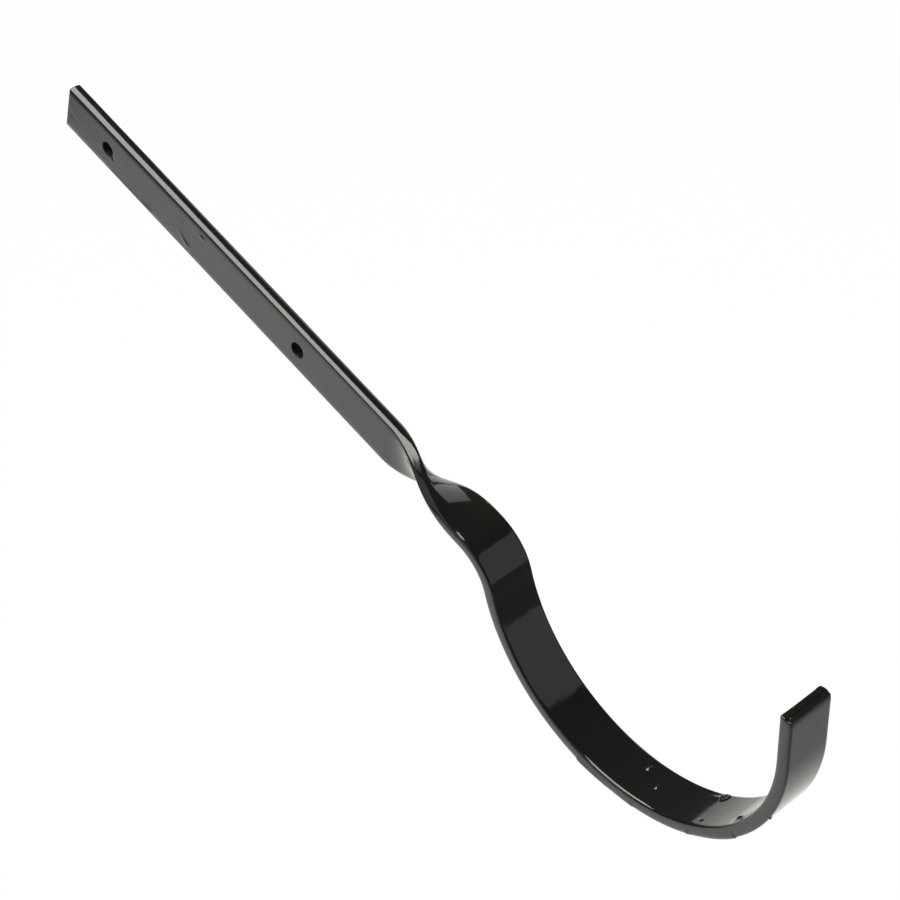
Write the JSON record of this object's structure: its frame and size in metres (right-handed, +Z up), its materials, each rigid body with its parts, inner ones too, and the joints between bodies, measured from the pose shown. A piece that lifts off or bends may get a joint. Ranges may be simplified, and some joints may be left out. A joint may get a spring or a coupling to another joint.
{
  "type": "gutter bracket",
  "caption": "Flat steel bar with a drilled arm, a quarter twist and a half-round hook, which screws to a rafter's side and carries a half-round gutter.",
  "frame": {"origin": "axis of the half-round gutter seat, at the middle of the hook's width", "axes": "+X away from the wall, +Y along the gutter, +Z up; the arm runs back and up at 30 degrees along the rafter"},
  "size_m": [0.3664, 0.0204, 0.2138],
  "materials": {
    "black_paint": "gloss black paint, thickly dipped, with runs, drops and bubbles"
  },
  "bodies": {
    "root": {"bracket": "black_paint"}
  },
  "joints": []
}
